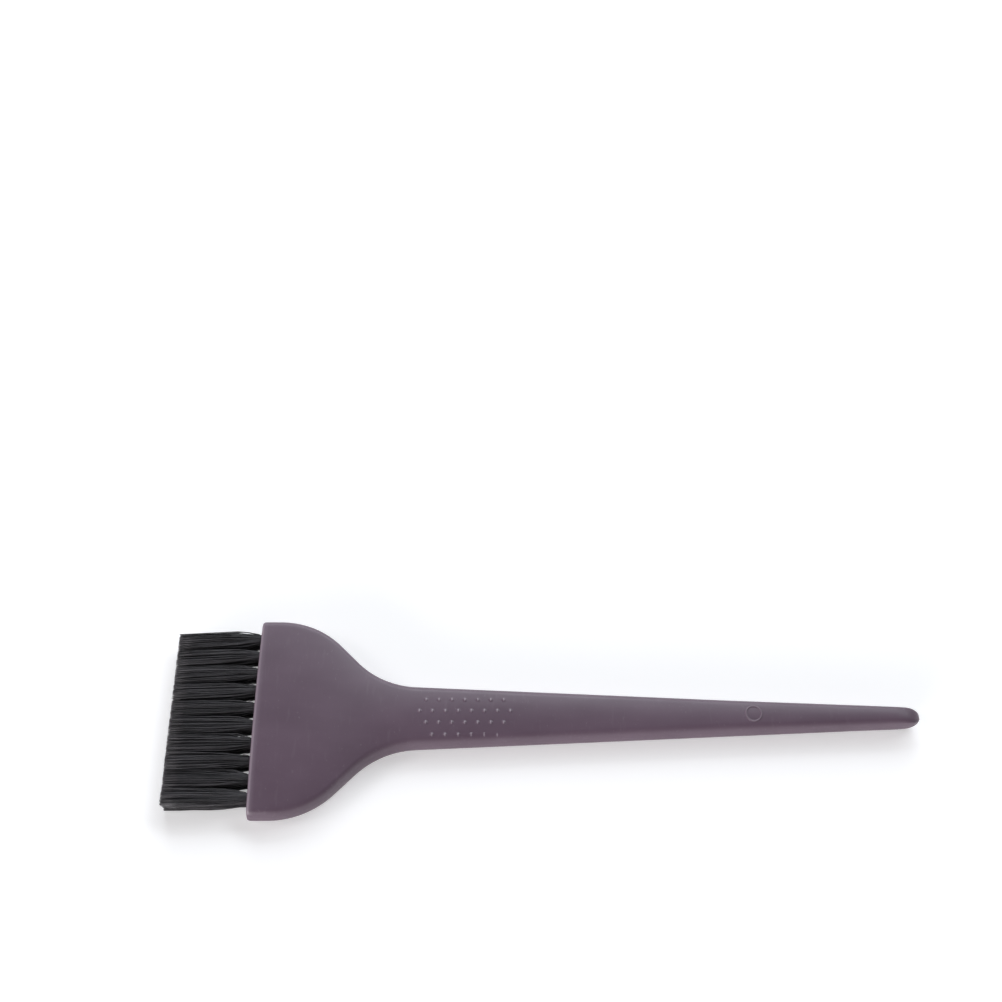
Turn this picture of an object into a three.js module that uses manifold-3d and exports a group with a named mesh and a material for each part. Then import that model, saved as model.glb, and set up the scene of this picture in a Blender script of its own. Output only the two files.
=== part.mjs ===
// Tint brush: a moulded plastic handle with a wide flat head, set with two rows of nylon tufts.
// Each tuft is folded round a flat wire anchor, and the two are driven into a blind hole in the
// head's end face, where the anchor's ends bite into the plastic on both sides of the hole.
//
// Millimetres. The handle's tip points to +X, the bristles to -X, and the flat back lies on z = 0.
// Inside the brush group x is measured from the head's end face. The group is then moved so that
// the origin is under the middle of the whole brush.

import * as THREE from 'three';
import { mergeVertices } from 'three/addons/utils/BufferGeometryUtils.js';
import Module from 'manifold-3d';

const wasm = await Module();
wasm.setup();

// Whole brush
const HANDLE_LENGTH = 190; // end face of the head to the tip of the handle
const BRISTLE_LENGTH = 24; // free length of the bristles
const GAP = 0.3; // room between two pieces that touch

// Outline of the handle, seen from above
const HEAD_WIDTH = 59;
const SHOULDER_START = 5.3; // where the head starts to narrow
const SHOULDER_RADIUS = 25.6; // of the shoulder's arc and of the neck's arc
const SHOULDER_ANGLE = THREE.MathUtils.degToRad(45); // steepest slope of the outline
const NECK_WIDTH = 18.2; // where the neck's arc runs out into the grip
const TAPER_ANGLE = THREE.MathUtils.degToRad(2.6); // of each side, from the grip to the tip

// Cross-section of the handle
const WALL_HEIGHT = 7.4; // side walls, from the flat back to the crease
const CROWN = 2.1; // rise of the upper face above the crease, were the handle very wide
const CROWN_WIDTH = 14; // half-width at which 63% of that rise is reached
const BELLY = 0.9; // how far the side walls bulge past the crease
const CREASE_RADIUS = 1.4;
const BACK_RADIUS = 1.2; // edge between the side walls and the back
const END_RADIUS = 1.1; // upper edge of the head's end face
const END_NARROWING = 0.25; // share of that radius by which the end face is narrower on each side
const END_LIFT = 0.3; // and the share by which its lower edge is higher
const NOSE_LENGTH = 8; // stretch over which the tip gets thinner
const TIP_LENGTH = 4.4; // stretch over which its outline rounds off

// Tufts, their holes and their anchors
const COLUMNS = 10;
const COLUMN_PITCH = 5.27;
const ROW_PITCH = 3.3;
const ROW_MIDDLE = 3.7; // height of the plane half-way between the two rows
const HOLE_DIAMETER = 2.7;
const HOLE_DEPTH = 6.8;
const TIP_COLUMN_PITCH = 5.1; // the tufts lean together until their tips make one even block
const TIP_ROW_PITCH = 3.7;
const TIP_LEAN = -0.7; // how far the whole block of tips is pushed to one side
const SPREAD = 0.45; // share of the free length over which a tuft opens out to full width
const ANCHOR = { length: 3.7, depth: 1.6, thickness: 0.4 };
const FOLD = 0.6; // bristle behind the anchor, where the tuft is folded over

// Grip dots: four staggered rows of low domes, counted from the -Y side
const DOT_ROWS = [6, 7, 8, 7];
const DOT_PITCH = 3.69;
const DOT_ROW_PITCH = 3.43;
const FIRST_DOT_ROW = -6.2; // y of the first row
const DOTS_MIDDLE = 59.9; // distance of the dots' middle from the end face
const DOT_RADIUS = 0.65;
const DOT_HEIGHT = 0.25;

// A plain raised ring on the tail
const RING_PLACE = 142;
const RING = { inner: 1.95, outer: 2.45, height: 0.25 };

const materials = {
  handle: new THREE.MeshStandardMaterial({ color: 0x6a5e68, roughness: 0.45, metalness: 0 }),
  bristle: new THREE.MeshStandardMaterial({ color: 0x1c1b1e, roughness: 0.6, metalness: 0 }),
  anchor: new THREE.MeshStandardMaterial({ color: 0xb4b0a6, roughness: 0.35, metalness: 1 }),
};

// The outline's tangent points: shoulder arc, straight flank, neck arc, straight taper, round tip
const shoulderEnd = {
  x: SHOULDER_START + SHOULDER_RADIUS * Math.sin(SHOULDER_ANGLE),
  half: HEAD_WIDTH / 2 - SHOULDER_RADIUS * (1 - Math.cos(SHOULDER_ANGLE)),
};
const neckStartHalf =
  NECK_WIDTH / 2 + SHOULDER_RADIUS * (Math.cos(TAPER_ANGLE) - Math.cos(SHOULDER_ANGLE));
const neckStart = {
  x: shoulderEnd.x + (shoulderEnd.half - neckStartHalf) / Math.tan(SHOULDER_ANGLE),
  half: neckStartHalf,
};
const neckEnd = {
  x: neckStart.x + SHOULDER_RADIUS * (Math.sin(SHOULDER_ANGLE) - Math.sin(TAPER_ANGLE)),
  half: NECK_WIDTH / 2,
};
const taper = Math.tan(TAPER_ANGLE);
const tipStart = HANDLE_LENGTH - TIP_LENGTH;
const tipStartHalf = neckEnd.half - taper * (tipStart - neckEnd.x);

// Height of a circle's arc at a distance from its middle, falling to 0 at the radius
function arc(radius, distance) {
  return Math.sqrt(Math.max(0, radius * radius - distance * distance));
}

function halfWidth(x) {
  if (x <= SHOULDER_START) return HEAD_WIDTH / 2;
  if (x <= shoulderEnd.x) {
    return HEAD_WIDTH / 2 - SHOULDER_RADIUS + arc(SHOULDER_RADIUS, x - SHOULDER_START);
  }
  if (x <= neckStart.x) return shoulderEnd.half - (x - shoulderEnd.x) * Math.tan(SHOULDER_ANGLE);
  if (x <= neckEnd.x) {
    const middle = neckEnd.x + SHOULDER_RADIUS * Math.sin(TAPER_ANGLE);
    const lowest = neckEnd.half + SHOULDER_RADIUS * Math.cos(TAPER_ANGLE);
    return lowest - arc(SHOULDER_RADIUS, middle - x);
  }
  if (x <= tipStart) return neckEnd.half - (x - neckEnd.x) * taper;
  return (tipStartHalf * arc(TIP_LENGTH, x - tipStart)) / TIP_LENGTH;
}

function crownRise(half) {
  return CROWN * (1 - Math.exp(-half / CROWN_WIDTH));
}

// Height of the upper face
function faceHeight(x, y) {
  const half = halfWidth(x) - BELLY;
  return WALL_HEIGHT + crownRise(half) * (1 - (y / half) ** 2);
}

// One closed cross-section of the handle at x, lower by inset and a little less wide and deep
function handleSection(x, inset = 0) {
  const nose = Math.max(0, x - HANDLE_LENGTH + NOSE_LENGTH);
  const squeeze = arc(NOSE_LENGTH, nose) / NOSE_LENGTH;
  const widest = halfWidth(x) - inset * END_NARROWING;
  const belly = BELLY * Math.min(squeeze, widest / tipStartHalf);
  const crease = widest - belly;
  const rise = crownRise(crease) * squeeze;
  const middle = WALL_HEIGHT / 2;
  const top = middle + (middle - inset) * squeeze;
  const back = middle - (middle - inset * END_LIFT) * squeeze;
  const creaseRadius = Math.min(CREASE_RADIUS, crease / 3);
  const backRadius = Math.min(BACK_RADIUS * squeeze, crease / 2);
  const faceEdge = crease - creaseRadius;
  const faceEdgeTop = top + rise * (1 - (faceEdge / crease) ** 2);
  const wallTop = top - creaseRadius * squeeze;
  const outline = new THREE.Path();
  outline.moveTo(0, back);
  outline.lineTo(crease - backRadius, back);
  outline.quadraticCurveTo(crease, back, crease + belly / 2, back + backRadius);
  outline.quadraticCurveTo(widest + belly / 2, middle, crease + belly / 2, wallTop);
  outline.quadraticCurveTo(crease, top, faceEdge, faceEdgeTop);
  outline.quadraticCurveTo(0, 2 * (top + rise) - faceEdgeTop, -faceEdge, faceEdgeTop);
  outline.quadraticCurveTo(-crease, top, -crease - belly / 2, wallTop);
  outline.quadraticCurveTo(-widest - belly / 2, middle, -crease - belly / 2, back + backRadius);
  outline.quadraticCurveTo(-crease, back, backRadius - crease, back);
  outline.lineTo(0, back);
  return outline.getPoints(5).slice(0, -1);
}

// A closed skin over rings of points, with a point in the middle of each end
function loft(rings, startMiddle, endMiddle) {
  const count = rings[0].length;
  const points = [startMiddle, ...rings.flat(), endMiddle];
  const faces = [];
  for (let side = 0; side < count; side++) {
    const next = (side + 1) % count;
    faces.push(0, 1 + next, 1 + side);
    for (let ring = 0; ring < rings.length - 1; ring++) {
      const near = 1 + ring * count;
      const far = near + count;
      faces.push(near + side, near + next, far + next, near + side, far + next, far + side);
    }
    const last = 1 + (rings.length - 1) * count;
    faces.push(points.length - 1, last + side, last + next);
  }
  const geometry = new THREE.BufferGeometry().setFromPoints(points);
  geometry.setIndex(faces);
  return geometry;
}

function toSolid(geometry) {
  const bare = geometry.clone();
  bare.deleteAttribute('normal');
  bare.deleteAttribute('uv');
  const merged = mergeVertices(bare, 1e-4);
  const vertProperties = new Float32Array(merged.attributes.position.array);
  const triVerts = new Uint32Array(merged.index.array);
  return new wasm.Manifold(new wasm.Mesh({ numProp: 3, vertProperties, triVerts }));
}

function toGeometry(solid) {
  const { vertProperties, triVerts } = solid.getMesh();
  const geometry = new THREE.BufferGeometry();
  geometry.setAttribute('position', new THREE.BufferAttribute(vertProperties, 3));
  geometry.setIndex(new THREE.BufferAttribute(triVerts, 1));
  geometry.computeVertexNormals();
  return geometry;
}

function steps(from, to, count) {
  return Array.from({ length: count }, (_, i) => from + ((to - from) * (i + 1)) / count);
}

function handleBody() {
  const diagonal = END_RADIUS * (1 - Math.SQRT1_2); // half-way round the end face's edge
  const ends = [
    [0, END_RADIUS],
    [diagonal, diagonal],
    [END_RADIUS, 0],
  ];
  const places = [
    SHOULDER_START,
    ...steps(SHOULDER_START, shoulderEnd.x, 7),
    neckStart.x,
    ...steps(neckStart.x, neckEnd.x, 7),
    ...steps(neckEnd.x, HANDLE_LENGTH - NOSE_LENGTH, 7),
    ...steps(HANDLE_LENGTH - NOSE_LENGTH, tipStart, 2),
    ...[20, 40, 58, 74].map((turn) => tipStart + TIP_LENGTH * Math.sin(THREE.MathUtils.degToRad(turn))),
  ];
  const sections = [...ends, ...places.map((x) => [x, 0])];
  const rings = sections.map(([x, inset]) =>
    handleSection(x, inset).map((point) => new THREE.Vector3(x, point.x, point.y)),
  );
  const middle = WALL_HEIGHT / 2;
  return loft(rings, new THREE.Vector3(0, 0, middle), new THREE.Vector3(HANDLE_LENGTH, 0, middle));
}

// The places of all tufts: y and z of the hole, and y and z of the tuft's middle at the bristle tips
const tuftPlaces = [];
for (const [row, side] of [['top', 1], ['bottom', -1]]) {
  for (let column = 0; column < COLUMNS; column++) {
    const across = column - (COLUMNS - 1) / 2;
    tuftPlaces.push({
      name: `${row}_${String(column + 1).padStart(2, '0')}`,
      root: new THREE.Vector2(across * COLUMN_PITCH, ROW_MIDDLE + (side * ROW_PITCH) / 2),
      tip: new THREE.Vector2(
        across * TIP_COLUMN_PITCH + TIP_LEAN,
        ROW_MIDDLE + (side * TIP_ROW_PITCH) / 2,
      ),
    });
  }
}
const tuftEnd = HOLE_DEPTH - GAP; // the folded end of a tuft, just off the bottom of its hole
const anchorPlace = tuftEnd - FOLD - GAP - ANCHOR.depth / 2;

// A block round an anchor, larger than it by margin along x and z
function anchorBlock(place, margin, length) {
  const depth = ANCHOR.depth + 2 * margin;
  const block = new THREE.BoxGeometry(depth, length, ANCHOR.thickness + 2 * margin);
  return block.translate(anchorPlace, place.root.x, place.root.y);
}

function tuftHole(place) {
  const mouth = 1; // the cutter starts this far outside the end face
  const hole = new THREE.CylinderGeometry(HOLE_DIAMETER / 2, HOLE_DIAMETER / 2, HOLE_DEPTH + mouth, 12);
  hole.rotateZ(Math.PI / 2).translate((HOLE_DEPTH - mouth) / 2, place.root.x, place.root.y);
  const bite = anchorBlock(place, GAP, ANCHOR.length + 2 * GAP);
  return toSolid(hole).add(toSolid(bite));
}

function gripDots() {
  const sphere = (DOT_RADIUS ** 2 + DOT_HEIGHT ** 2) / (2 * DOT_HEIGHT); // radius of the dome's sphere
  const dots = [];
  DOT_ROWS.forEach((count, row) => {
    const y = FIRST_DOT_ROW + row * DOT_ROW_PITCH;
    for (let i = 0; i < count; i++) {
      const x = DOTS_MIDDLE + (i - (count - 1) / 2) * DOT_PITCH;
      const dome = new THREE.SphereGeometry(sphere, 8, 5);
      dome.rotateX(Math.PI / 2).translate(x, y, faceHeight(x, y) + DOT_HEIGHT - sphere);
      dots.push(toSolid(dome));
    }
  });
  return dots;
}

function tailRing() {
  const sunk = 1; // how far the ring goes down into the handle
  const profile = [
    new THREE.Vector2(RING.inner, -sunk),
    new THREE.Vector2(RING.outer, -sunk),
    new THREE.Vector2(RING.outer, RING.height),
    new THREE.Vector2(RING.inner, RING.height),
    new THREE.Vector2(RING.inner, -sunk),
  ];
  const ring = new THREE.LatheGeometry(profile, 20);
  return toSolid(ring.rotateX(Math.PI / 2).translate(RING_PLACE, 0, faceHeight(RING_PLACE, 0)));
}

function handleGeometry() {
  const holes = wasm.Manifold.union(tuftPlaces.map(tuftHole));
  const raised = wasm.Manifold.union([...gripDots(), tailRing()]);
  return toGeometry(toSolid(handleBody()).add(raised).subtract(holes));
}

// A tuft is round in its hole and opens out to a rounded block that meets its neighbours at the tips
function tuftGeometry(place) {
  const sides = 12;
  const rootRadius = HOLE_DIAMETER / 2 - GAP;
  const tipHalf = new THREE.Vector2((TIP_COLUMN_PITCH - GAP) / 2, (TIP_ROW_PITCH - GAP) / 2);
  const places = [tuftEnd, 0, ...steps(0, -BRISTLE_LENGTH * SPREAD, 4), -BRISTLE_LENGTH];
  const middles = places.map((x) => {
    const along = Math.max(0, -x) / BRISTLE_LENGTH;
    return place.root.clone().lerp(place.tip, along);
  });
  const rings = places.map((x, i) => {
    const along = Math.max(0, -x) / BRISTLE_LENGTH;
    const open = 1 - (1 - Math.min(1, along / SPREAD)) ** 2;
    const power = THREE.MathUtils.lerp(1, 0.5, open); // 1 is a circle, less is squarer
    return Array.from({ length: sides }, (_, side) => {
      const turn = (2 * Math.PI * (side + 0.5)) / sides;
      const [c, s] = [Math.cos(turn), Math.sin(turn)];
      const y = Math.sign(c) * Math.abs(c) ** power * THREE.MathUtils.lerp(rootRadius, tipHalf.x, open);
      const z = Math.sign(s) * Math.abs(s) ** power * THREE.MathUtils.lerp(rootRadius, tipHalf.y, open);
      return new THREE.Vector3(x, middles[i].x + y, middles[i].y + z);
    });
  });
  const startMiddle = new THREE.Vector3(places[0], middles[0].x, middles[0].y);
  const endMiddle = new THREE.Vector3(places.at(-1), middles.at(-1).x, middles.at(-1).y);
  const bundle = toSolid(loft(rings.reverse(), endMiddle, startMiddle));
  return toGeometry(bundle.subtract(toSolid(anchorBlock(place, GAP, HOLE_DIAMETER + 1))));
}

function piece(name, geometry, material) {
  const mesh = new THREE.Mesh(geometry, material);
  mesh.name = name;
  return mesh;
}

const brush = new THREE.Group();
brush.position.x = -(HANDLE_LENGTH - BRISTLE_LENGTH) / 2;
brush.add(piece('handle', handleGeometry(), materials.handle));
for (const place of tuftPlaces) {
  brush.add(piece(`tuft_${place.name}`, tuftGeometry(place), materials.bristle));
  brush.add(piece(`anchor_${place.name}`, anchorBlock(place, 0, ANCHOR.length), materials.anchor));
}

const tintBrush = new THREE.Group();
tintBrush.add(brush);

export default tintBrush;
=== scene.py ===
"""Looks of the tint brush: the moulded handle, the bristle tufts and the wire anchors.

Every piece is built in metres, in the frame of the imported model. x runs to the handle's tip, the
bristles point to -x and z is up from the flat back. Inside the shape functions x is measured from
the head's end face, as "along".
"""

import math

import bpy
import numpy as np
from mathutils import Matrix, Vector


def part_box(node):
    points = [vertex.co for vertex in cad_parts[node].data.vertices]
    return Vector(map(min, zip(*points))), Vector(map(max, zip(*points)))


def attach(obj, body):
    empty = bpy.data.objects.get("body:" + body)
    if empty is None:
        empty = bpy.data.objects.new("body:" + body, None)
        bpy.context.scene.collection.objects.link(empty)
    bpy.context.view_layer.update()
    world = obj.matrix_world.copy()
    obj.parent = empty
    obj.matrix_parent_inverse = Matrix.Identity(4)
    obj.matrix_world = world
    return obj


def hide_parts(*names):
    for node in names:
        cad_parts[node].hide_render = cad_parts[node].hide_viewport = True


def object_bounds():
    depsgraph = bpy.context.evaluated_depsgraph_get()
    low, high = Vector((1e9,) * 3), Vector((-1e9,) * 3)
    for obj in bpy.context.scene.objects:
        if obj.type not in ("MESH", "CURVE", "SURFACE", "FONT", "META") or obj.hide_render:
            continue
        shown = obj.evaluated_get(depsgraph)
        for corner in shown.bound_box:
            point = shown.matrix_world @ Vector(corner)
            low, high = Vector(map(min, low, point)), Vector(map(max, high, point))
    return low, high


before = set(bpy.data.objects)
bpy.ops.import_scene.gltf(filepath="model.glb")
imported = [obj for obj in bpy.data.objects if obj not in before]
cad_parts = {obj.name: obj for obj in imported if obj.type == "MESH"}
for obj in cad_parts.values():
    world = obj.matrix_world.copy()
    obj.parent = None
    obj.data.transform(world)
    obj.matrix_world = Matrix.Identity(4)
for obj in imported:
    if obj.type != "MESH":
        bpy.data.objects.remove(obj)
cad_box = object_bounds()

MM = 0.001
COLUMNS = 10
ROWS = ("top", "bottom")

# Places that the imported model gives
HANDLE_LOW, HANDLE_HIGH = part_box("handle")
END_FACE = HANDLE_LOW.x
HANDLE_LENGTH = HANDLE_HIGH.x - HANDLE_LOW.x
BRISTLE_LENGTH = END_FACE - cad_box[0][0]
HEAD_HALF = HANDLE_HIGH.y

# Outline of the handle, seen from above
SHOULDER_START = 5.3 * MM
SHOULDER_RADIUS = 25.6 * MM
SHOULDER_ANGLE = math.radians(45)
NECK_HALF = 9.1 * MM
TAPER_ANGLE = math.radians(2.6)

# Cross-section of the handle
WALL_HEIGHT = 7.4 * MM
CROWN = 2.1 * MM
CROWN_WIDTH = 14 * MM
BELLY = 0.9 * MM
CREASE_RADIUS = 1.4 * MM
BACK_RADIUS = 1.2 * MM
END_RADIUS = 1.1 * MM
END_NARROWING = 0.25  # the end's rounding at its sides, as a share of that at its top
END_LIFT = 0.3  # and at its back
NOSE_LENGTH = 8 * MM  # stretch over which the tail gets thinner
TIP_LENGTH = 4.4 * MM  # stretch over which its outline closes
PARTING_LINE = 0.04 * MM
END_STOPS = 7
TIP_ANGLES = range(6, 88, 6)
FLAT_SHARES = np.arange(6) / 6
EDGE_SHARES = np.arange(8) / 8
FACE_SHARES = np.arange(100) / 100  # close enough together for the dots
WALL_SHARES = (0, 0.1, 0.2, 0.3, 0.4, 0.47, 0.488, 0.5, 0.512, 0.53, 0.6, 0.7, 0.8, 0.9)
PARTING_POINT = 7  # the point of a side wall that is on the parting line
SHARP_EDGE = math.radians(38)

# Grip dots and the ring on the tail
DOT_ROWS = (6, 7, 8, 7)
DOT_PITCH = 3.69 * MM
DOT_ROW_PITCH = 3.43 * MM
FIRST_DOT_ROW = -6.2 * MM
DOTS_MIDDLE = 59.9 * MM
DOT_RADIUS = 0.65 * MM
DOT_HEIGHT = 0.25 * MM
DOT_FALL = 1.3  # how softly a dot runs out into the face
RING_PLACE = 142 * MM
RING_RADIUS = 2.2 * MM
RING_HALF_WIDTH = 0.32 * MM
RING_HEIGHT = 0.22 * MM
RING_FALL = 1.5  # and the ring

# Painted highlights on the dots, the ring and the end's rim, with the rim's highlighted band given in end
# radii
DOT_HIGHLIGHT = 0.88
DOT_HIGHLIGHT_NARROWING = 2.2
RING_HIGHLIGHT = 0.22
RIM_HIGHLIGHT = 0.48
RIM_HIGHLIGHT_PLACE = 0.5
RIM_HIGHLIGHT_WIDTH = 0.75

# Tufts and their holes
COLUMN_PITCH = 5.27 * MM
ROW_PITCH = 3.3 * MM
ROW_MIDDLE = 3.7 * MM
HOLE_RADIUS = 1.35 * MM
HOLE_DEPTH = 6.8 * MM
HOLE_SIDES = 32
HOLE_CONE = 0.5 * MM  # the last stretch of a hole, where it narrows
HOLE_END = 0.5  # radius of its flat end, in hole radii
COUNTERSINK = 0.15 * MM
CUTTER_OVERHANG = 1 * MM
TIP_COLUMN_PITCH = 5.1 * MM
TIP_ROW_PITCH = 3.7 * MM
TIP_LEAN = -0.7 * MM
FILAMENT_RADIUS = 0.09 * MM
FILAMENT_SIDES = 5
FILAMENTS = 230  # places for them in a whole hole, of which the half above the anchor is used
HOLE_FILL = 0.93
ANCHOR_CLEARANCE = 0.05  # in hole radii
FOLD_PLACE = 5.4 * MM
FOLD_STOPS = 5
LEG_SHARES = (-0.2, 0.0, 0.04, 0.1, 0.18, 0.3, 0.45, 0.62, 0.8, 1.0)  # of the free length
SPREAD = (0.2, 0.95)  # share of it over which filaments open out, from first to last
SWELL = 0.3  # share of that opening which a tuft has right outside its hole
SWELL_REACH = 0.04
BLOCK_FILL = 1.1  # above 1, neighbouring tufts mix a little at their edges
BLOCK_SQUARENESS = 0.8  # 0 keeps a tuft round, 1 gives it sharp corners
CLUMPS = 14
CLUMP_PULL = (0.05, 0.3)
CLUMP_REACH = 0.95

# Irregularity: standard deviations of the random part of each place
TUFT_LEAN = 0.08 * MM
TIP_SCATTER = 0.1 * MM
CUT_SCATTER = 0.12 * MM
FILAMENT_WAVE = 0.04 * MM
CLUMP_WAVE = 0.07 * MM
FIRST_SEED = 100

# Anchors, in shares of the wire's thickness and length
WIRE_ROUNDING = 0.35
WIRE_ENDS = ((-0.5, 0.88), (-0.46, 1), (0.46, 1), (0.5, 0.88))  # place along it and its size there
WIRE_CORNERS = ((1, 1, 0), (-1, 1, 90), (-1, -1, 180), (1, -1, 270))  # side, side and first angle
WIRE_TURNS = (0, 30, 60, 90)
WIRE_SHARP_EDGE = math.radians(40)

# Colours
PLASTIC = ((0.107, 0.070, 0.098), (0.125, 0.083, 0.115))
PLASTIC_STREAK = (0.16, 0.118, 0.15)
PLASTIC_SPECK = (0.2, 0.16, 0.19)
# Colour of the painted highlights on the grip dots, the tail ring and the end's rim
PLASTIC_HIGHLIGHT = (0.34, 0.29, 0.33)
NYLON = ((0.026, 0.025, 0.027), (0.068, 0.065, 0.071))
WIRE = ((0.5, 0.48, 0.44), (0.66, 0.63, 0.58))
TABLE = ((0.80, 0.80, 0.80), (0.82, 0.82, 0.82))
WHITE = (1, 1, 1, 1)
COOL = (0.91, 0.95, 1)
WARM = (1, 0.96, 0.99)

# Camera
CAMERA_PLACE = (-0.0128, -0.13735, 0.3808)
CAMERA_FORWARD = (0, 0.484, -0.875)
LENS = 49.7
SENSOR_WIDTH = 36
NEAREST_SEEN = 0.01

# Studio: a light table in a room with pale walls and a dark ceiling, and softboxes
TABLE_GLOW = 0.38
TABLE_REACH = 8
WALL_LIGHT = 0.52
CEILING_LIGHT = 0.05
WALL_TOP = 0.15  # sine of the angle up to which the walls are evenly lit
CEILING_START = 0.6  # and of the angle from which the ceiling is
SOFTBOX_DISTANCE = 3.0
SOFTBOXES = (  # name, azimuth and elevation, size in shares of the distance, brightness, colour
    ("back_softbox", 90, 32, (0.67, 0.67), 4.5, COOL),
    ("side_softbox", 45, 45, (0.67, 0.33), 5.5, COOL),
    ("near_softbox", 225, 10, (1.0, 0.31), 10.0, WARM),
    ("left_softbox", 180, 40, (0.33, 0.33), 4.5, WARM),
)


def arc(radius, distance):
    """Height of a circle's arc at a distance from its middle, falling to 0 at the radius."""
    return math.sqrt(max(0.0, radius * radius - distance * distance))


class Outline:
    """Half-width of the handle: shoulder arc, straight flank, neck arc, straight taper, round tip."""

    def __init__(self):
        slope, taper = SHOULDER_ANGLE, TAPER_ANGLE
        self.flank_start = SHOULDER_START + SHOULDER_RADIUS * math.sin(slope)
        self.flank_half = HEAD_HALF - SHOULDER_RADIUS * (1 - math.cos(slope))
        neck_half = NECK_HALF + SHOULDER_RADIUS * (math.cos(taper) - math.cos(slope))
        self.neck_start = self.flank_start + (self.flank_half - neck_half) / math.tan(slope)
        self.neck_end = self.neck_start + SHOULDER_RADIUS * (math.sin(slope) - math.sin(taper))
        self.tip_start = HANDLE_LENGTH - TIP_LENGTH
        self.tip_half = NECK_HALF - (self.tip_start - self.neck_end) * math.tan(taper)

    def half(self, along):
        """Half-width at a distance from the end face."""
        if along <= SHOULDER_START:
            return HEAD_HALF
        if along <= self.flank_start:
            return HEAD_HALF - SHOULDER_RADIUS + arc(SHOULDER_RADIUS, along - SHOULDER_START)
        if along <= self.neck_start:
            return self.flank_half - (along - self.flank_start) * math.tan(SHOULDER_ANGLE)
        if along <= self.neck_end:
            middle = self.neck_end + SHOULDER_RADIUS * math.sin(TAPER_ANGLE)
            lowest = NECK_HALF + SHOULDER_RADIUS * math.cos(TAPER_ANGLE)
            return lowest - arc(SHOULDER_RADIUS, middle - along)
        if along <= self.tip_start:
            return NECK_HALF - (along - self.neck_end) * math.tan(TAPER_ANGLE)
        return self.tip_half * arc(TIP_LENGTH, along - self.tip_start) / TIP_LENGTH


OUTLINE = Outline()


def new_mesh(name, points, faces, material):
    """A smooth-shaded mesh object."""
    mesh = bpy.data.meshes.new(name)
    mesh.from_pydata([tuple(p) for p in points], [], faces)
    mesh.validate()
    mesh.shade_smooth()
    piece = bpy.data.objects.new(name, mesh)
    bpy.context.scene.collection.objects.link(piece)
    piece.data.materials.append(material)
    return piece


def place(piece, slot, *nodes):
    """The piece rides on the brush's one body and stands for the CAD nodes."""
    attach(piece, "root")
    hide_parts(*nodes)


def bezier(start, control, end, shares):
    """Points of a quadratic curve at the given shares of its length, without its end."""
    t = np.asarray(shares)[:, None]
    start, control, end = (np.asarray(p, float) for p in (start, control, end))
    return (1 - t) ** 2 * start + 2 * t * (1 - t) * control + t**2 * end


def dots(along, across, narrowing=1.0):
    """How far up the nearest grip dot each point is, from 0 to 1, with dots narrowed along x."""
    rise = np.zeros_like(across)
    for row, count in enumerate(DOT_ROWS):
        y = FIRST_DOT_ROW + row * DOT_ROW_PITCH
        first = DOTS_MIDDLE - (count - 1) / 2 * DOT_PITCH
        nearest = np.clip(np.round((along - first) / DOT_PITCH), 0, count - 1)
        off_centre = (along - first - nearest * DOT_PITCH) * narrowing
        away = np.hypot(off_centre, across - y) / DOT_RADIUS
        rise = np.maximum(rise, np.clip(1 - away**2, 0, 1) ** DOT_FALL)
    return rise


def ring(along, across):
    """How far up the tail's ring each point is, from 0 to 1."""
    off_ring = (np.hypot(along - RING_PLACE, across) - RING_RADIUS) / RING_HALF_WIDTH
    return np.clip(1 - off_ring**2, 0, 1) ** RING_FALL


def raised_detail(along, across):
    """Height of the grip dots and the tail ring above the smooth upper face, for arrays of points."""
    return np.maximum(DOT_HEIGHT * dots(along, across), RING_HEIGHT * ring(along, across))


def handle_section(along, inset=0.0):
    """One closed cross-section of the handle, lower by inset and a little less wide and deep."""
    nose = max(0.0, along - HANDLE_LENGTH + NOSE_LENGTH)
    squeeze = arc(NOSE_LENGTH, nose) / NOSE_LENGTH
    widest = OUTLINE.half(along) - inset * END_NARROWING
    belly = BELLY * min(squeeze, widest / OUTLINE.tip_half)
    crease = widest - belly
    rise = CROWN * (1 - math.exp(-crease / CROWN_WIDTH)) * squeeze
    middle = WALL_HEIGHT / 2
    top = middle + (middle - inset) * squeeze
    back = middle - (middle - inset * END_LIFT) * squeeze
    crease_radius = min(CREASE_RADIUS, crease / 3)
    back_radius = min(BACK_RADIUS * squeeze, crease / 2)
    face_edge = crease - crease_radius
    face_edge_top = top + rise * (1 - (face_edge / crease) ** 2)
    wall_top = top - crease_radius * squeeze
    wall_side = crease + belly / 2
    bulge = widest + belly / 2

    flat_end = (crease - back_radius, back)
    wall_foot = (wall_side, back + back_radius)
    wall_head = (wall_side, wall_top)
    flat = bezier((0, back), (crease / 2, back), flat_end, FLAT_SHARES)
    corner = bezier(flat_end, (crease, back), wall_foot, FLAT_SHARES)
    wall = bezier(wall_foot, (bulge, middle), wall_head, WALL_SHARES)
    wall[PARTING_POINT, 0] += PARTING_LINE * squeeze
    edge = bezier(wall_head, (crease, top), (face_edge, face_edge_top), EDGE_SHARES)
    side = np.vstack([flat, corner, wall, edge])
    face_top = (0, 2 * (top + rise) - face_edge_top)
    face = bezier((face_edge, face_edge_top), face_top, (-face_edge, face_edge_top), FACE_SHARES)
    face[:, 1] += raised_detail(along, face[:, 0])
    end = np.array([[face_edge, face_edge_top], *edge[::-1], *wall[::-1], *corner[::-1], *flat[:0:-1]])
    end[:, 0] *= -1
    return np.vstack([side, face, end])


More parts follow.
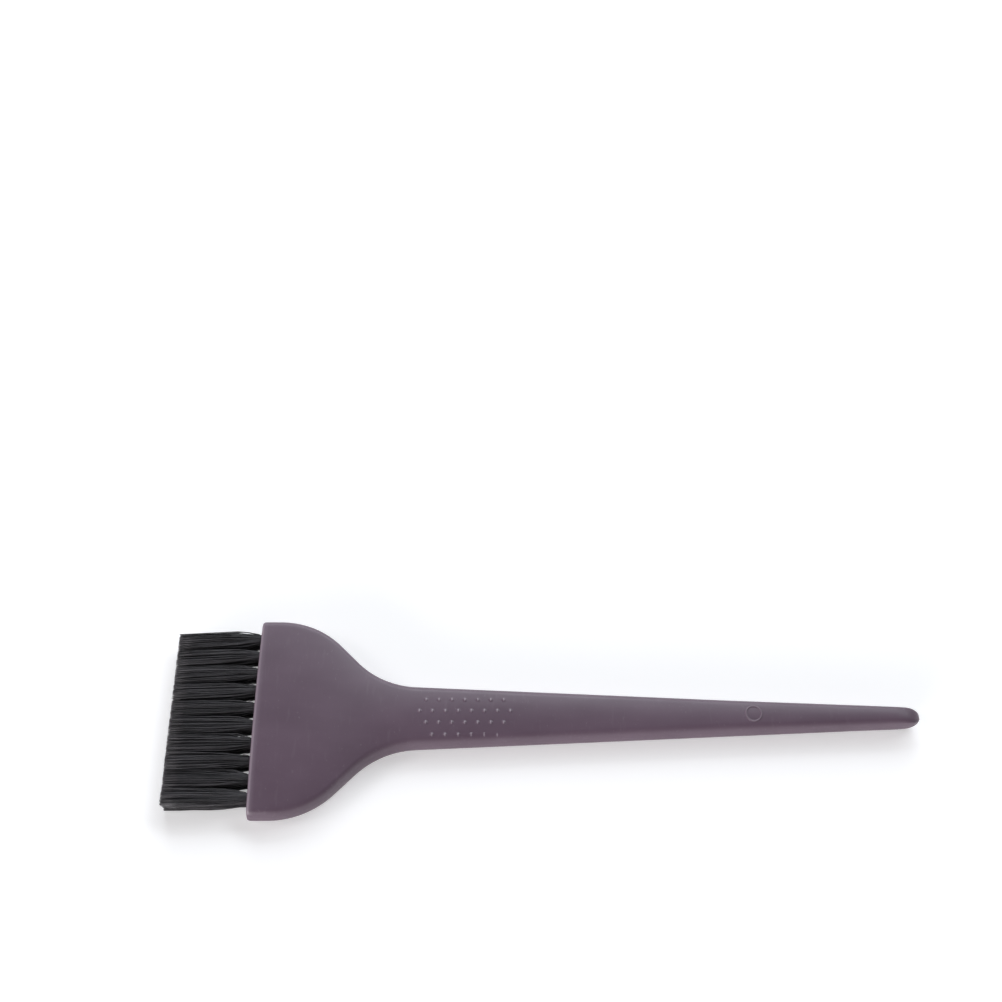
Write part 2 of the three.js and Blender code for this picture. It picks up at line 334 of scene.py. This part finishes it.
def handle_places():
    """Places and insets of the cross-sections, closer together where the shape needs it."""
    quarter = np.linspace(math.pi / 2, 0, END_STOPS)
    rounded_end = [(END_RADIUS * (1 - math.sin(a)), END_RADIUS * (1 - math.cos(a))) for a in quarter]
    dots_reach = (max(DOT_ROWS) - 1) / 2 * DOT_PITCH + 1.5 * DOT_RADIUS
    ring_reach = RING_RADIUS + 2 * RING_HALF_WIDTH
    dots_end = DOTS_MIDDLE + dots_reach
    ring_start, ring_end = RING_PLACE - ring_reach, RING_PLACE + ring_reach
    nose_start = HANDLE_LENGTH - NOSE_LENGTH
    stretches = [  # start, end and number of steps
        (END_RADIUS, SHOULDER_START, 4),
        (SHOULDER_START, OUTLINE.neck_end, 64),
        (OUTLINE.neck_end, dots_end, 190),
        (dots_end, ring_start, 30),
        (ring_start, ring_end, 48),
        (ring_end, nose_start, 24),
        (nose_start, OUTLINE.tip_start, 10),
    ]
    places = [(a, 0.0) for start, end, count in stretches for a in np.linspace(start, end, count + 1)[1:]]
    tip = [OUTLINE.tip_start + TIP_LENGTH * math.sin(math.radians(t)) for t in TIP_ANGLES]
    return rounded_end + places + [(a, 0.0) for a in tip]


def handle_skin():
    """The handle's outer skin, before its holes are cut."""
    sections = []
    places = handle_places()
    for along, inset in places:
        points = handle_section(along, inset)
        sections.append(np.column_stack([np.full(len(points), END_FACE + along), points]))
    count = len(sections[0])
    points = np.vstack(sections + [[(END_FACE + HANDLE_LENGTH, 0, WALL_HEIGHT / 2)]])
    faces = [tuple(reversed(range(count)))]
    for section in range(len(sections) - 1):
        near, far = section * count, (section + 1) * count
        for i in range(count):
            n = (i + 1) % count
            faces.append((near + i, near + n, far + n, far + i))
    last = (len(sections) - 1) * count
    faces += [(last + i, last + (i + 1) % count, len(points) - 1) for i in range(count)]
    return points, faces


def tuft_places():
    """For each tuft, its name and the y and z of its hole and of its middle at the bristle tips."""
    for row, side in zip(ROWS, (0.5, -0.5)):
        for column in range(COLUMNS):
            across = column - (COLUMNS - 1) / 2
            root = np.array([across * COLUMN_PITCH, ROW_MIDDLE + side * ROW_PITCH])
            tip = np.array([across * TIP_COLUMN_PITCH + TIP_LEAN, ROW_MIDDLE + side * TIP_ROW_PITCH])
            yield f"{row}_{column + 1:02d}", root, tip


def cut(piece, cutter):
    """Cuts the cutter out of the piece and removes the cutter."""
    modifier = piece.modifiers.new("cut", "BOOLEAN")
    modifier.operation = "DIFFERENCE"
    modifier.solver = "EXACT"
    modifier.object = cutter
    bpy.context.view_layer.update()
    evaluated = piece.evaluated_get(bpy.context.evaluated_depsgraph_get())
    result = bpy.data.meshes.new_from_object(evaluated)
    piece.modifiers.clear()
    piece.data = result
    bpy.data.objects.remove(cutter)


def hole_cutter():
    """Twenty blind holes with a small countersink, as one cutter."""
    sides = HOLE_SIDES
    profile = [
        (-CUTTER_OVERHANG, HOLE_RADIUS + COUNTERSINK),
        (0, HOLE_RADIUS + COUNTERSINK),
        (COUNTERSINK, HOLE_RADIUS),
        (HOLE_DEPTH - HOLE_CONE, HOLE_RADIUS),
        (HOLE_DEPTH, HOLE_RADIUS * HOLE_END),
    ]
    points, faces = [], []
    turns = np.arange(sides) * 2 * math.pi / sides
    for _, root, _ in tuft_places():
        first = len(points)
        for along, radius in profile:
            for turn in turns:
                y, z = root + radius * np.array([math.cos(turn), math.sin(turn)])
                points.append((END_FACE + along, y, z))
        rings = [first + stop * sides for stop in range(len(profile))]
        faces.append(tuple(rings[0] + i for i in reversed(range(sides))))
        for near, far in zip(rings, rings[1:]):
            for i in range(sides):
                n = (i + 1) % sides
                faces.append((near + i, near + n, far + n, far + i))
        faces.append(tuple(rings[-1] + i for i in range(sides)))
    return new_mesh("hole_cutter", points, faces, handle_material)


def painted_highlight(points):
    """How much painted highlight each point gets, from 0 to 1: on the dots, the ring and the end's upper
    edge.
    """
    along = points[:, 0] - END_FACE
    rim = np.clip(1 - np.abs(along / END_RADIUS - RIM_HIGHLIGHT_PLACE) / RIM_HIGHLIGHT_WIDTH, 0, 1)
    highlighted = RIM_HIGHLIGHT * rim + RING_HIGHLIGHT * ring(along, points[:, 1])
    highlighted += DOT_HIGHLIGHT * dots(along, points[:, 1], DOT_HIGHLIGHT_NARROWING)
    return np.where(points[:, 2] > WALL_HEIGHT - END_RADIUS, highlighted, 0)


def build_handle():
    points, faces = handle_skin()
    handle = new_mesh("moulded_handle", points, faces, handle_material)
    # Painted highlights on the dots, the ring and the end's rim, stored per point for the material
    highlighted = handle.data.attributes.new("painted_highlight", "FLOAT", "POINT")
    highlighted.data.foreach_set("value", painted_highlight(points))
    cut(handle, hole_cutter())
    handle.data.set_sharp_from_angle(angle=SHARP_EDGE)
    place(handle, "handle_plastic", "handle")


def filament_roots(rng):
    """Places across half a hole, above the anchor, for the folded filaments, in shares of its radius."""
    index = np.arange(FILAMENTS)
    radius = HOLE_FILL * np.sqrt((index + 0.5) / FILAMENTS)
    turn = index * math.pi * (3 - math.sqrt(5)) + rng.uniform(0, 2 * math.pi)
    spots = np.column_stack([radius * np.cos(turn), radius * np.sin(turn)])
    return spots[spots[:, 1] > ANCHOR_CLEARANCE]


def to_block(spots):
    """Maps the unit circle to a square with rounded corners by stretching it outwards."""
    reach = np.hypot(spots[:, 0], spots[:, 1])
    return spots * (reach / np.abs(spots).max(axis=1))[:, None] ** BLOCK_SQUARENESS


def leg_path(rng, spots, root, tip, clumps):
    """Centre lines of one leg of each filament, from the hole's depth to the tips."""
    block = to_block(spots) * BLOCK_FILL * [TIP_COLUMN_PITCH / 2, TIP_ROW_PITCH / 2]
    nearest = np.argmin(np.linalg.norm(block[:, None] - clumps[None], axis=2), axis=1)
    pull = rng.uniform(*CLUMP_PULL, len(clumps))[nearest][:, None]
    block = block + (clumps[nearest] - block) * pull + rng.normal(0, TIP_SCATTER, block.shape)
    in_hole = spots * (HOLE_RADIUS - FILAMENT_RADIUS)
    wave = rng.normal(0, FILAMENT_WAVE, block.shape)
    wave = wave + rng.normal(0, CLUMP_WAVE, clumps.shape)[nearest]
    spread = rng.uniform(*SPREAD, len(spots))[:, None]
    length = BRISTLE_LENGTH - np.abs(rng.normal(0, CUT_SCATTER, len(spots)))
    path = np.zeros((len(spots), len(LEG_SHARES), 3))
    for k, share in enumerate(LEG_SHARES):
        u = max(0.0, share)
        opening = np.minimum(1, u / spread)
        swell = SWELL * min(1, u / SWELL_REACH)
        opened = swell + (1 - swell) * opening**2 * (3 - 2 * opening)
        across = in_hole * (1 - opened) + block * opened
        path[:, k, 0] = END_FACE - share * length
        path[:, k, 1:] = root + (tip - root) * u + across + wave * math.sin(math.pi * u)
    path[..., 2] = np.maximum(path[..., 2], FILAMENT_RADIUS)  # the lowest ones lie on the table
    return path


def tuft_filaments(rng, root, tip):
    """Centre lines of a tuft's folded filaments: up one leg, round the anchor, down the other."""
    spots = filament_roots(rng)
    clumps = rng.uniform(-CLUMP_REACH, CLUMP_REACH, (CLUMPS, 2))
    clumps = clumps * [TIP_COLUMN_PITCH / 2, TIP_ROW_PITCH / 2]
    tip = tip + rng.normal(0, TUFT_LEAN, 2)
    mirrored = spots * [1, -1]
    out = leg_path(rng, spots, root, tip, clumps)[:, ::-1]
    back = leg_path(rng, mirrored, root, tip, clumps)
    reach = spots[:, 1] * (HOLE_RADIUS - FILAMENT_RADIUS)
    fold = np.zeros((len(spots), FOLD_STOPS, 3))
    for k, turn in enumerate(np.linspace(0, math.pi, FOLD_STOPS)):
        fold[:, k, 0] = END_FACE + FOLD_PLACE + reach * math.sin(turn)
        fold[:, k, 1] = root[0] + spots[:, 0] * (HOLE_RADIUS - FILAMENT_RADIUS)
        fold[:, k, 2] = root[1] + reach * math.cos(turn)
    return np.concatenate([out, fold, back], axis=1)


def strands(paths, radius, sides):
    """Closed round tubes along many centre lines, as points and faces."""
    count, stops = paths.shape[:2]
    tangent = np.gradient(paths, axis=1)
    tangent /= np.linalg.norm(tangent, axis=2, keepdims=True)
    across = np.zeros_like(tangent)
    across[..., 1] = 1
    across -= tangent * (across * tangent).sum(axis=2, keepdims=True)
    across /= np.linalg.norm(across, axis=2, keepdims=True)
    up = np.cross(tangent, across)
    turn = np.arange(sides) * 2 * math.pi / sides
    circle = np.cos(turn)[:, None] * across[..., None, :] + np.sin(turn)[:, None] * up[..., None, :]
    points = (paths[..., None, :] + radius * circle).reshape(-1, 3)
    faces = []
    for strand in range(count):
        first = strand * stops * sides
        for stop in range(stops - 1):
            near = first + stop * sides
            for i in range(sides):
                n = (i + 1) % sides
                faces.append((near + i, near + n, near + sides + n, near + sides + i))
        last = first + (stops - 1) * sides
        faces.append(tuple(first + i for i in reversed(range(sides))))
        faces.append(tuple(last + i for i in range(sides)))
    return points, faces


def build_tufts():
    for number, (name, root, tip) in enumerate(tuft_places()):
        rng = np.random.default_rng(FIRST_SEED + number)
        points, faces = strands(tuft_filaments(rng, root, tip), FILAMENT_RADIUS, FILAMENT_SIDES)
        tuft = new_mesh(f"bristles_{name}", points, faces, bristle_material)
        place(tuft, "bristle", f"tuft_{name}")


def build_anchors():
    """A short cut of flat wire across each hole, with rounded long edges and slightly burred ends."""
    for name, _, _ in tuft_places():
        node = f"anchor_{name}"
        low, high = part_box(node)
        middle = (low + high) / 2
        size = high - low
        rounding = size.z * WIRE_ROUNDING
        points, faces = [], []
        for y, trim in WIRE_ENDS:
            for x_side, z_side, start in WIRE_CORNERS:
                corner = np.array([x_side * size.x / 2, z_side * size.z / 2]) * trim
                inner = corner - np.array([x_side, z_side]) * rounding
                for turn in WIRE_TURNS:
                    angle = math.radians(start + turn)
                    x, z = inner + rounding * np.array([math.cos(angle), math.sin(angle)])
                    points.append((middle.x + x, middle.y + y * size.y, middle.z + z))
        count = len(WIRE_CORNERS) * len(WIRE_TURNS)
        last = (len(WIRE_ENDS) - 1) * count
        faces.append(tuple(range(count)))
        for near in range(0, last, count):
            for i in range(count):
                n = (i + 1) % count
                faces.append((near + n, near + i, near + count + i, near + count + n))
        faces.append(tuple(reversed(range(last, last + count))))
        wire = new_mesh(f"wire_{name}", points, faces, wire_material)
        wire.data.set_sharp_from_angle(angle=WIRE_SHARP_EDGE)
        place(wire, "anchor_wire", node)


class Nodes:
    """A small helper for building a material's node tree."""

    def __init__(self, name):
        self.material = bpy.data.materials.new(name)
        self.material.use_nodes = True
        self.tree = self.material.node_tree
        self.shader = self.tree.nodes["Principled BSDF"]

    def add(self, kind, **settings):
        node = self.tree.nodes.new(kind)
        for key, value in settings.items():
            setattr(node, key, value)
        return node

    def link(self, output, target):
        self.tree.links.new(output, target)

    def coordinates(self, scale):
        where = self.add("ShaderNodeTexCoord")
        mapping = self.add("ShaderNodeMapping")
        mapping.inputs["Scale"].default_value = scale
        self.link(where.outputs["Object"], mapping.inputs["Vector"])
        return mapping.outputs["Vector"]

    def noise(self, scale, stretch=(1, 1, 1), detail=3.0, roughness=0.5):
        node = self.add("ShaderNodeTexNoise")
        node.inputs["Scale"].default_value = scale
        node.inputs["Detail"].default_value = detail
        node.inputs["Roughness"].default_value = roughness
        self.link(self.coordinates(stretch), node.inputs["Vector"])
        return node.outputs["Fac"]

    def spread(self, value, low, high, low_to=0.0, high_to=1.0):
        node = self.add("ShaderNodeMapRange")
        node.inputs["From Min"].default_value = low
        node.inputs["From Max"].default_value = high
        node.inputs["To Min"].default_value = low_to
        node.inputs["To Max"].default_value = high_to
        self.link(value, node.inputs["Value"])
        return node.outputs["Result"]

    def mix(self, share, first, second):
        node = self.add("ShaderNodeMix", data_type="RGBA")
        self.link(share, node.inputs["Factor"])
        for socket, colour in ((node.inputs[6], first), (node.inputs[7], second)):
            if isinstance(colour, tuple):
                socket.default_value = (*colour, 1)
            else:
                self.link(colour, socket)
        return node.outputs[2]

    def bump(self, height, strength, distance, normal=None):
        node = self.add("ShaderNodeBump")
        node.inputs["Strength"].default_value = strength
        node.inputs["Distance"].default_value = distance
        self.link(height, node.inputs["Height"])
        if normal is not None:
            self.link(normal, node.inputs["Normal"])
        return node.outputs["Normal"]


def make_handle_material():
    """Satin mauve-grey moulded plastic: fine grain, soft flow marks, faint streaks, and painted
    highlights on the dots, the ring and the rim.
    """
    n = Nodes("satin_mauve_plastic")
    flow = n.spread(n.noise(60, (1, 2.2, 1), 3.0), 0.3, 0.7)
    base = n.mix(flow, *PLASTIC)
    streaks = n.spread(n.noise(800, (1, 0.16, 1), 2.0), 0.6, 0.85, 0, 0.5)
    streaked = n.mix(streaks, base, PLASTIC_STREAK)
    specks = n.spread(n.noise(1700, (1, 0.6, 1), 1.0), 0.7, 0.78, 0, 0.4)
    specked = n.mix(specks, streaked, PLASTIC_SPECK)
    # Painted highlights: the dots, the ring and the end's rim are lightened towards the highlight colour
    highlighted = n.add("ShaderNodeAttribute", attribute_name="painted_highlight").outputs["Fac"]
    n.link(n.mix(highlighted, specked, PLASTIC_HIGHLIGHT), n.shader.inputs["Base Color"])
    rub = n.spread(n.noise(45, (1, 1, 1), 4.0, 0.6), 0.3, 0.7, 0.4, 0.5)
    n.link(rub, n.shader.inputs["Roughness"])
    grain = n.bump(n.noise(5200, (1, 1, 1), 2.0), 0.12, 0.00002)
    n.link(n.bump(n.noise(420, (1, 1, 1), 2.0), 0.1, 0.00006, grain), n.shader.inputs["Normal"])
    return n.material


def make_bristle_material():
    """Black nylon: slightly glossy, with lighter and darker streaks from bundle to bundle."""
    n = Nodes("black_nylon")
    streaks = n.spread(n.noise(900, (0.035, 1, 1), 3.0), 0.35, 0.7)
    n.link(n.mix(streaks, *NYLON), n.shader.inputs["Base Color"])
    n.link(n.spread(n.noise(1500, (0.05, 1, 1), 2.0), 0.3, 0.7, 0.34, 0.5), n.shader.inputs["Roughness"])
    return n.material


def make_wire_material():
    """Bright drawn flat wire, with drawing lines along it."""
    n = Nodes("drawn_wire")
    n.shader.inputs["Metallic"].default_value = 1
    lines = n.spread(n.noise(6000, (1, 0.03, 1), 2.0), 0.3, 0.7)
    n.link(n.mix(lines, *WIRE), n.shader.inputs["Base Color"])
    n.link(n.spread(lines, 0, 1, 0.25, 0.42), n.shader.inputs["Roughness"])
    n.link(n.bump(lines, 0.2, 0.00001), n.shader.inputs["Normal"])
    return n.material


def make_floor_material():
    """A pale light table: white, matt and softly lit from below."""
    n = Nodes("light_table")
    tone = n.spread(n.noise(6, (1, 1, 1), 2.0), 0.3, 0.7)
    n.link(n.mix(tone, *TABLE), n.shader.inputs["Base Color"])
    n.shader.inputs["Roughness"].default_value = 0.9
    n.shader.inputs["Specular IOR Level"].default_value = 0.1
    n.shader.inputs["Emission Color"].default_value = WHITE
    n.shader.inputs["Emission Strength"].default_value = TABLE_GLOW
    return n.material


def build_camera():
    """The camera stands over the near side of the brush and looks steeply down past it."""
    camera = bpy.data.cameras.new("camera")
    camera.lens = LENS
    camera.sensor_width = SENSOR_WIDTH
    camera.clip_start = NEAREST_SEEN
    rig = bpy.data.objects.new("camera", camera)
    rig.location = CAMERA_PLACE
    rig.rotation_euler = Vector(CAMERA_FORWARD).to_track_quat("-Z", "Y").to_euler()
    bpy.context.scene.collection.objects.link(rig)
    bpy.context.scene.camera = rig


def softbox(name, azimuth, elevation, size, radiance, colour):
    """A softbox of a given brightness that faces the brush, its size in shares of its distance."""
    width, height = (share * SOFTBOX_DISTANCE for share in size)
    light = bpy.data.lights.new(name, "AREA")
    light.shape = "RECTANGLE"
    light.size, light.size_y = width, height
    light.energy = radiance * math.pi * width * height
    light.color = colour
    turn, tilt = math.radians(azimuth), math.radians(elevation)
    towards = Vector((math.cos(tilt) * math.cos(turn), math.cos(tilt) * math.sin(turn), math.sin(tilt)))
    lamp = bpy.data.objects.new(name, light)
    lamp.location = towards * SOFTBOX_DISTANCE
    lamp.rotation_euler = towards.to_track_quat("Z", "Y").to_euler()
    bpy.context.scene.collection.objects.link(lamp)


def build_room():
    """Pale walls all round, under a dark ceiling."""
    room = bpy.data.worlds.new("room")
    room.use_nodes = True
    tree = room.node_tree
    where = tree.nodes.new("ShaderNodeTexCoord")
    split = tree.nodes.new("ShaderNodeSeparateXYZ")
    tree.links.new(where.outputs["Generated"], split.inputs["Vector"])
    shade = tree.nodes.new("ShaderNodeMapRange")
    shade.interpolation_type = "SMOOTHSTEP"
    shade.inputs["From Min"].default_value = WALL_TOP
    shade.inputs["From Max"].default_value = CEILING_START
    shade.inputs["To Min"].default_value = WALL_LIGHT
    shade.inputs["To Max"].default_value = CEILING_LIGHT
    tree.links.new(split.outputs["Z"], shade.inputs["Value"])
    tree.links.new(shade.outputs["Result"], tree.nodes["Background"].inputs["Strength"])
    tree.nodes["Background"].inputs["Color"].default_value = WHITE
    bpy.context.scene.world = room


def build_studio():
    build_room()
    for row in SOFTBOXES:
        softbox(*row)
    reach = TABLE_REACH
    corners = [(-reach, -reach, 0), (reach, -reach, 0), (reach, reach, 0), (-reach, reach, 0)]
    new_mesh("floor", corners, [(0, 1, 2, 3)], floor_material)
    bpy.context.scene.view_settings.view_transform = "Standard"


handle_material = make_handle_material()
bristle_material = make_bristle_material()
wire_material = make_wire_material()
floor_material = make_floor_material()

build_camera()
build_handle()
build_tufts()
build_anchors()
build_studio()
